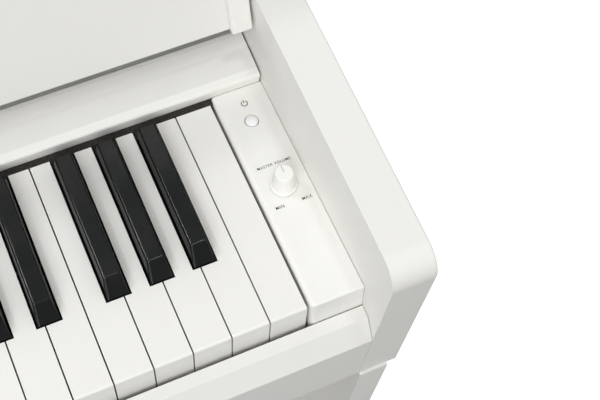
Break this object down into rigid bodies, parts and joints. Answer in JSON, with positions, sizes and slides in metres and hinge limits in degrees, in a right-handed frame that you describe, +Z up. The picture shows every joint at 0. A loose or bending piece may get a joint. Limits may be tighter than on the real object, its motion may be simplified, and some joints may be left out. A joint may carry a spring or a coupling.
{
  "type": "digital piano on stand",
  "caption": "Slim upright digital piano in white on its own stand, with a folding lid, sprung keys, a volume knob, push buttons and foot pedals.",
  "frame": {"origin": "on the floor, under the middle of the bounding box at rest (lid open)", "axes": "+X to the player's right along the keyboard, +Y from the player to the rear, +Z up"},
  "size_m": [1.3486, 0.2957, 0.9679],
  "materials": {
    "white_board": "satin",
    "plain_board": "matt",
    "white_moulding": "satin",
    "white_key": "gloss",
    "black_key": "matt",
    "felt": "matt",
    "contact_rubber": "matt",
    "glide_rubber": "matt",
    "adjuster_plastic": "matt",
    "knob_plastic": "satin",
    "button_plastic": "satin",
    "dark_plastic": "matt",
    "control_metal": "satin",
    "speaker_black": "satin",
    "grille_black": "satin",
    "circuit_board": "satin",
    "steel": "brushed",
    "hinge_metal": "satin",
    "bracket_steel": "satin",
    "pedal_metal": "polished"
  },
  "bodies": {
    "case": {"arm_left": "white_board", "arm_right": "white_board", "back_board": "white_board", "balance_rail": "plain_board", "balance_rod": "steel", "black_keys_set": "black_key", "button_switches": "dark_plastic", "contact_rail": "plain_board", "contact_strip": "contact_rubber", "cover_shelf": "white_moulding", "end_block_left": "white_moulding", "end_block_right": "white_moulding", "feet": "white_board", "foot_glides": "glide_rubber", "front_rail": "plain_board", "jack_box": "dark_plastic", "key_felt": "felt", "key_slip": "white_board", "keybed": "plain_board", "leg_left": "white_board", "leg_right": "white_board", "main_board": "circuit_board", "pedal_box": "white_board", "pedal_rail": "white_board", "pedal_rod": "steel", "power_inlet": "dark_plastic", "rear_panel": "plain_board", "rear_top_board": "white_board", "speaker_grilles": "grille_black", "speakers": "speaker_black", "stand_brackets": "bracket_steel", "volume_pot": "control_metal", "white_keys_set": "white_key"},
    "lid": {"lid_panel": "white_board", "lid_rails": "white_moulding", "lid_pins": "steel", "lid_hinge_leaves": "hinge_metal", "music_ledge": "white_board"},
    "flap": {"lid_flap": "white_board", "flap_hinge_leaves": "hinge_metal"},
    "volume_knob": {"volume_knob": "knob_plastic"},
    "power_button": {"power_button": "button_plastic"},
    "voice_button": {"voice_button": "button_plastic"},
    "pedal_soft": {"pedal_soft": "pedal_metal"},
    "pedal_sostenuto": {"pedal_sostenuto": "pedal_metal"},
    "pedal_damper": {"pedal_damper": "pedal_metal"},
    "pedal_adjuster": {"pedal_adjuster": "adjuster_plastic"},
    "key_a7": {"key_a7": "white_key"},
    "key_a_sharp7": {"key_a_sharp7": "black_key"},
    "key_b7": {"key_b7": "white_key"},
    "key_c7": {"key_c7": "white_key"},
    "key_c8": {"key_c8": "white_key"},
    "key_c_sharp7": {"key_c_sharp7": "black_key"},
    "key_d7": {"key_d7": "white_key"},
    "key_d_sharp7": {"key_d_sharp7": "black_key"},
    "key_e7": {"key_e7": "white_key"},
    "key_f7": {"key_f7": "white_key"},
    "key_f_sharp7": {"key_f_sharp7": "black_key"},
    "key_g7": {"key_g7": "white_key"},
    "key_g_sharp7": {"key_g_sharp7": "black_key"}
  },
  "joints": [
    {"name": "lid_swing", "type": "hinge", "parent": "case", "child": "lid", "pos_m": [0, 0.05835, 0.774], "axis": [1, 0, 0], "range_deg": [0, 111.7]},
    {"name": "flap_fold", "type": "hinge", "parent": "lid", "child": "flap", "pos_m": [0, 0.1325, 0.96588], "axis": [1, 0, 0], "range_deg": [0, 270]},
    {"name": "volume_turn", "type": "hinge", "parent": "case", "child": "volume_knob", "pos_m": [0.6299, -0.04315, 0.712], "axis": [0, 0, 1], "range_deg": [-150, 150]},
    {"name": "power_press", "type": "slide", "parent": "case", "child": "power_button", "axis": [0, 0, -1], "range_m": [0, 0.0012], "stiffness_N_per_m": 400, "springref_m": -0.002},
    {"name": "voice_press", "type": "slide", "parent": "case", "child": "voice_button", "axis": [0, 0, -1], "range_m": [0, 0.0012], "stiffness_N_per_m": 400, "springref_m": -0.002},
    {"name": "adjuster_turn", "type": "hinge", "parent": "case", "child": "pedal_adjuster", "pos_m": [0, 0.02835, 0.022], "axis": [0, 0, 1], "continuous": true},
    {"name": "soft_press", "type": "hinge", "parent": "case", "child": "pedal_soft", "pos_m": [0, 0.06335, 0.062], "axis": [1, 0, 0], "range_deg": [0, 6], "stiffness_Nm_per_rad": 12, "springref_deg": -6.88},
    {"name": "sostenuto_press", "type": "hinge", "parent": "case", "child": "pedal_sostenuto", "pos_m": [0, 0.06335, 0.062], "axis": [1, 0, 0], "range_deg": [0, 6], "stiffness_Nm_per_rad": 12, "springref_deg": -6.88},
    {"name": "damper_press", "type": "hinge", "parent": "case", "child": "pedal_damper", "pos_m": [0, 0.06335, 0.062], "axis": [1, 0, 0], "range_deg": [0, 6], "stiffness_Nm_per_rad": 12, "springref_deg": -6.88},
    {"name": "key_a7_press", "type": "hinge", "parent": "case", "child": "key_a7", "pos_m": [0, 0.08835, 0.702], "axis": [1, 0, 0], "range_deg": [0, 2.7], "stiffness_Nm_per_rad": 0.6, "springref_deg": -14.32},
    {"name": "key_a_sharp7_press", "type": "hinge", "parent": "case", "child": "key_a_sharp7", "pos_m": [0, 0.08835, 0.702], "axis": [1, 0, 0], "range_deg": [0, 2.7], "stiffness_Nm_per_rad": 0.6, "springref_deg": -14.32},
    {"name": "key_b7_press", "type": "hinge", "parent": "case", "child": "key_b7", "pos_m": [0, 0.08835, 0.702], "axis": [1, 0, 0], "range_deg": [0, 2.7], "stiffness_Nm_per_rad": 0.6, "springref_deg": -14.32},
    {"name": "key_c7_press", "type": "hinge", "parent": "case", "child": "key_c7", "pos_m": [0, 0.08835, 0.702], "axis": [1, 0, 0], "range_deg": [0, 2.7], "stiffness_Nm_per_rad": 0.6, "springref_deg": -14.32},
    {"name": "key_c8_press", "type": "hinge", "parent": "case", "child": "key_c8", "pos_m": [0, 0.08835, 0.702], "axis": [1, 0, 0], "range_deg": [0, 2.7], "stiffness_Nm_per_rad": 0.6, "springref_deg": -14.32},
    {"name": "key_c_sharp7_press", "type": "hinge", "parent": "case", "child": "key_c_sharp7", "pos_m": [0, 0.08835, 0.702], "axis": [1, 0, 0], "range_deg": [0, 2.7], "stiffness_Nm_per_rad": 0.6, "springref_deg": -14.32},
    {"name": "key_d7_press", "type": "hinge", "parent": "case", "child": "key_d7", "pos_m": [0, 0.08835, 0.702], "axis": [1, 0, 0], "range_deg": [0, 2.7], "stiffness_Nm_per_rad": 0.6, "springref_deg": -14.32},
    {"name": "key_d_sharp7_press", "type": "hinge", "parent": "case", "child": "key_d_sharp7", "pos_m": [0, 0.08835, 0.702], "axis": [1, 0, 0], "range_deg": [0, 2.7], "stiffness_Nm_per_rad": 0.6, "springref_deg": -14.32},
    {"name": "key_e7_press", "type": "hinge", "parent": "case", "child": "key_e7", "pos_m": [0, 0.08835, 0.702], "axis": [1, 0, 0], "range_deg": [0, 2.7], "stiffness_Nm_per_rad": 0.6, "springref_deg": -14.32},
    {"name": "key_f7_press", "type": "hinge", "parent": "case", "child": "key_f7", "pos_m": [0, 0.08835, 0.702], "axis": [1, 0, 0], "range_deg": [0, 2.7], "stiffness_Nm_per_rad": 0.6, "springref_deg": -14.32},
    {"name": "key_f_sharp7_press", "type": "hinge", "parent": "case", "child": "key_f_sharp7", "pos_m": [0, 0.08835, 0.702], "axis": [1, 0, 0], "range_deg": [0, 2.7], "stiffness_Nm_per_rad": 0.6, "springref_deg": -14.32},
    {"name": "key_g7_press", "type": "hinge", "parent": "case", "child": "key_g7", "pos_m": [0, 0.08835, 0.702], "axis": [1, 0, 0], "range_deg": [0, 2.7], "stiffness_Nm_per_rad": 0.6, "springref_deg": -14.32},
    {"name": "key_g_sharp7_press", "type": "hinge", "parent": "case", "child": "key_g_sharp7", "pos_m": [0, 0.08835, 0.702], "axis": [1, 0, 0], "range_deg": [0, 2.7], "stiffness_Nm_per_rad": 0.6, "springref_deg": -14.32}
  ]
}
